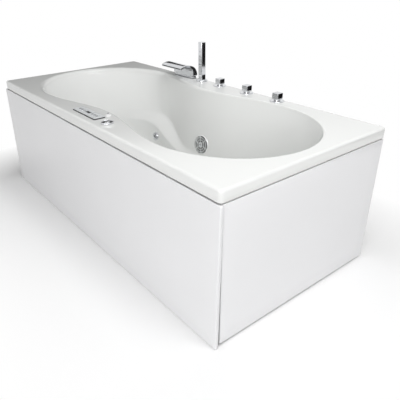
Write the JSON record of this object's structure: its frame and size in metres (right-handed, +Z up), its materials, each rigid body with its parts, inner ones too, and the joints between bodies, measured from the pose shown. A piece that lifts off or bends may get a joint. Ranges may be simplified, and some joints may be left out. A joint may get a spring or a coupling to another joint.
{
  "type": "jetted bathtub",
  "caption": "White oblong jetted bathtub with apron panels, steel frame, deck taps, waterfall spout, hand shower, jets, suction, pump and pop-up waste.",
  "frame": {"origin": "on the floor at the middle of the centre foot, below the middle of the bath", "axes": "+X towards the foot end, +Y towards the wall side with the taps, +Z up"},
  "size_m": [1.718, 0.8129, 0.755],
  "materials": {
    "acrylic_white": "high gloss acrylic",
    "panel_white": "gloss",
    "chrome": "polished",
    "nozzle_chrome": "polished",
    "pipe_pvc": "matt",
    "air_hose": "matt",
    "galvanised_steel": "galvanised",
    "timber": "sawn",
    "pump_dark": "moulded",
    "brass": "machined",
    "keypad_silver": "satin",
    "display_dark": "gloss",
    "key_grey": "satin",
    "white_plastic": "gloss",
    "rubber": "matt",
    "box_grey": "matt"
  },
  "bodies": {
    "tub": {"tub_shell": "acrylic_white", "front_panel": "panel_white", "end_panel": "panel_white", "jet_rings": "chrome", "suction_grille": "chrome", "suction_screw": "chrome", "tap_roses": "chrome", "shower_socket": "chrome", "waterfall_spout": "chrome", "waste_flange": "chrome", "overflow_flange": "chrome", "water_manifold": "pipe_pvc", "suction_pipe": "pipe_pvc", "suction_body": "pipe_pvc", "jet_body_back": "pipe_pvc", "jet_body_front": "pipe_pvc", "jet_body_foot_back": "pipe_pvc", "jet_body_foot_front": "pipe_pvc", "waste_trap": "pipe_pvc", "overflow_pipe": "pipe_pvc", "air_pipe": "air_hose", "support_frame": "galvanised_steel", "levelling_feet": "galvanised_steel", "foot_locknuts": "galvanised_steel", "panel_brackets": "galvanised_steel", "panel_screws": "galvanised_steel", "pump_plate": "galvanised_steel", "base_board": "timber", "rim_battens": "timber", "pump_motor": "pump_dark", "pump_volute": "pump_dark", "tap_valves": "brass", "mixer_pipework": "brass", "deck_nuts": "brass", "control_panel": "keypad_silver", "display_window": "display_dark", "light_button_ring": "white_plastic", "air_control_body": "white_plastic", "spout_gasket": "rubber", "control_box": "box_grey", "control_box_lid": "box_grey"},
    "pump_rotor": {"pump_impeller": "pump_dark"},
    "nozzle_back": {"jet_nozzle_back": "nozzle_chrome"},
    "nozzle_front": {"jet_nozzle_front": "nozzle_chrome"},
    "nozzle_foot_back": {"jet_nozzle_foot_back": "nozzle_chrome"},
    "nozzle_foot_front": {"jet_nozzle_foot_front": "nozzle_chrome"},
    "air_knob": {"air_control_knob": "chrome"},
    "light_push": {"light_button": "white_plastic"},
    "shower_stick": {"hand_shower": "chrome"},
    "tap_cold": {"tap_knob_cold": "chrome"},
    "tap_hot": {"tap_knob_hot": "chrome"},
    "tap_diverter": {"tap_knob_diverter": "chrome"},
    "overflow_turn": {"overflow_knob": "chrome"},
    "plug": {"waste_plug": "chrome"},
    "key_1": {"panel_key_1": "key_grey"},
    "key_2": {"panel_key_2": "key_grey"},
    "key_3": {"panel_key_3": "key_grey"},
    "key_4": {"panel_key_4": "key_grey"},
    "key_5": {"panel_key_5": "key_grey"},
    "key_6": {"panel_key_6": "key_grey"}
  },
  "joints": [
    {"name": "pump_spin", "type": "hinge", "parent": "tub", "child": "pump_rotor", "pos_m": [-0.7, 0, 0.192], "axis": [0, 1, 0], "continuous": true},
    {"name": "nozzle_back_tilt", "type": "hinge", "parent": "tub", "child": "nozzle_back", "pos_m": [-0.32283, 0.19049, 0.26169], "axis": [0.988, 0.1546, 0], "range_deg": [-12, 12]},
    {"name": "nozzle_front_tilt", "type": "hinge", "parent": "tub", "child": "nozzle_front", "pos_m": [-0.32283, -0.19049, 0.26169], "axis": [-0.988, 0.1546, 0], "range_deg": [-12, 12]},
    {"name": "nozzle_foot_back_tilt", "type": "hinge", "parent": "tub", "child": "nozzle_foot_back", "pos_m": [0.67521, 0.11295, 0.25235], "axis": [0.5631, -0.8264, 0], "range_deg": [-12, 12]},
    {"name": "nozzle_foot_front_tilt", "type": "hinge", "parent": "tub", "child": "nozzle_foot_front", "pos_m": [0.67521, -0.11295, 0.25235], "axis": [-0.5631, -0.8264, 0], "range_deg": [-12, 12]},
    {"name": "air_turn", "type": "hinge", "parent": "tub", "child": "air_knob", "pos_m": [0.155, -0.348, 0.567], "axis": [0, 0, 1], "range_deg": [0, 270]},
    {"name": "cold_turn", "type": "hinge", "parent": "tub", "child": "tap_cold", "pos_m": [0.362, 0.364, 0.57], "axis": [0, 0, 1], "range_deg": [0, 90]},
    {"name": "hot_turn", "type": "hinge", "parent": "tub", "child": "tap_hot", "pos_m": [0.178, 0.364, 0.57], "axis": [0, 0, 1], "range_deg": [0, 90]},
    {"name": "diverter_turn", "type": "hinge", "parent": "tub", "child": "tap_diverter", "pos_m": [-0.006, 0.364, 0.57], "axis": [0, 0, 1], "range_deg": [-45, 45]},
    {"name": "overflow_turn", "type": "hinge", "parent": "tub", "child": "overflow_turn", "pos_m": [0.77562, 0, 0.46955], "axis": [-0.9549, 0, 0.297], "range_deg": [0, 120]},
    {"name": "plug_lift", "type": "slide", "parent": "tub", "child": "plug", "axis": [0, 0, 1], "range_m": [0, 0.01]},
    {"name": "shower_lift", "type": "slide", "parent": "tub", "child": "shower_stick", "axis": [0, 0, 1], "range_m": [0, 0.15]},
    {"name": "light_press", "type": "slide", "parent": "tub", "child": "light_push", "axis": [0, 0, -1], "range_m": [0, 0.003], "stiffness_N_per_m": 500, "springref_m": -0.002},
    {"name": "key_1_press", "type": "slide", "parent": "tub", "child": "key_1", "axis": [0, 0, -1], "range_m": [0, 0.0008], "stiffness_N_per_m": 600, "springref_m": -0.001},
    {"name": "key_2_press", "type": "slide", "parent": "tub", "child": "key_2", "axis": [0, 0, -1], "range_m": [0, 0.0008], "stiffness_N_per_m": 600, "springref_m": -0.001},
    {"name": "key_3_press", "type": "slide", "parent": "tub", "child": "key_3", "axis": [0, 0, -1], "range_m": [0, 0.0008], "stiffness_N_per_m": 600, "springref_m": -0.001},
    {"name": "key_4_press", "type": "slide", "parent": "tub", "child": "key_4", "axis": [0, 0, -1], "range_m": [0, 0.0008], "stiffness_N_per_m": 600, "springref_m": -0.001},
    {"name": "key_5_press", "type": "slide", "parent": "tub", "child": "key_5", "axis": [0, 0, -1], "range_m": [0, 0.0008], "stiffness_N_per_m": 600, "springref_m": -0.001},
    {"name": "key_6_press", "type": "slide", "parent": "tub", "child": "key_6", "axis": [0, 0, -1], "range_m": [0, 0.0008], "stiffness_N_per_m": 600, "springref_m": -0.001}
  ],
  "couplings": [
    {"joint": "plug_lift", "follows": "overflow_turn", "m_per_rad": 0.00477}
  ]
}
